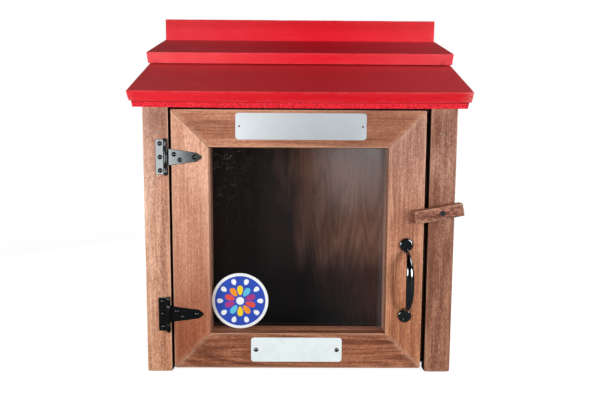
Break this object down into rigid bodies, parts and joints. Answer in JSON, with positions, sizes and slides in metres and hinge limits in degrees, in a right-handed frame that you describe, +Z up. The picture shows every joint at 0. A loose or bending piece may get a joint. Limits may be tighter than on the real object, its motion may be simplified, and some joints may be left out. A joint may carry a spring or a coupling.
{
  "type": "street book exchange box",
  "caption": "Small outdoor timber cabinet for swapping books: glazed side-hung door, wooden turn button, bow handle and a sloping roof of lapped boards.",
  "frame": {"origin": "centre of the cabinet underside: halfway across its width and halfway between the front of its posts and the back of its back panel", "axes": "+Z up, +X to the right as seen by someone facing the door, and the door faces -Y"},
  "size_m": [0.5916, 0.265, 0.6926],
  "materials": {
    "red_boards": "red stain gone satin, with grain showing and worn ends",
    "deck_plywood": "red stained plywood with a rough edge",
    "back_plywood": "brown stained plywood",
    "stained_timber": "weathered red-brown stain over rough sawn timber",
    "inner_timber": "dark brown stained timber",
    "door_timber": "weathered red-brown stain with clear grain",
    "glazing_timber": "red-brown stained strips",
    "pane": "clear acrylic sheet, dusty",
    "button_timber": "rough stained block with worn corners",
    "black_iron": "satin black coating",
    "hinge_screws": "satin black heads with bright spots in the drives",
    "handle_black": "gloss black enamel",
    "sign_silver": "fine brushed silver",
    "plate_white": "white coating, lightly soiled",
    "sticker_vinyl": null,
    "dark_screws": "dark blued steel",
    "brown_pins": "browned brass",
    "nails": "weathered bright steel",
    "zinc_screws": "zinc plated steel"
  },
  "bodies": {
    "cabinet": {"back_panel": "back_plywood", "back_screws": "zinc_screws", "button_screw": "dark_screws", "button_washer": "zinc_screws", "cleat_left": "inner_timber", "cleat_right": "inner_timber", "deck_nails": "nails", "floor_board": "stained_timber", "head_stop": "inner_timber", "hinge_leaf_lower": "black_iron", "hinge_leaf_upper": "black_iron", "hinge_pin_lower": "black_iron", "hinge_pin_upper": "black_iron", "leaf_screws_lower": "hinge_screws", "leaf_screws_upper": "hinge_screws", "packing_strip": "deck_plywood", "post_left": "stained_timber", "post_nails": "nails", "post_right": "stained_timber", "ridge_board": "red_boards", "ridge_screws": "zinc_screws", "roof_board_lower": "red_boards", "roof_board_upper": "red_boards", "roof_deck": "deck_plywood", "roof_screws": "zinc_screws", "side_nails": "nails", "side_panel_left": "stained_timber", "side_panel_right": "stained_timber", "stop_left": "inner_timber", "stop_right": "inner_timber"},
    "door": {"door_rail_bottom": "door_timber", "door_rail_top": "door_timber", "door_stile_left": "door_timber", "door_stile_right": "door_timber", "glazing_pane": "pane", "glazing_rail_bottom": "glazing_timber", "glazing_rail_top": "glazing_timber", "glazing_screws": "zinc_screws", "glazing_stile_left": "glazing_timber", "glazing_stile_right": "glazing_timber", "handle_screws": "handle_black", "hinge_strap_lower": "black_iron", "hinge_strap_upper": "black_iron", "lower_plate": "plate_white", "lower_plate_screws": "dark_screws", "pull_handle": "handle_black", "round_sticker": "sticker_vinyl", "sign_pins": "brown_pins", "sign_plate": "sign_silver", "strap_screws_lower": "hinge_screws", "strap_screws_upper": "hinge_screws"},
    "turn_button": {"turn_button": "button_timber"}
  },
  "joints": [
    {"name": "door_hinge", "type": "hinge", "parent": "cabinet", "child": "door", "pos_m": [-0.2352, -0.1083, 0.2485], "axis": [0, 0, -1], "range_deg": [0, 170]},
    {"name": "turn_button_pivot", "type": "hinge", "parent": "cabinet", "child": "turn_button", "pos_m": [0.2474, -0.1147, 0.2947], "axis": [0, -1, 0], "continuous": true}
  ]
}
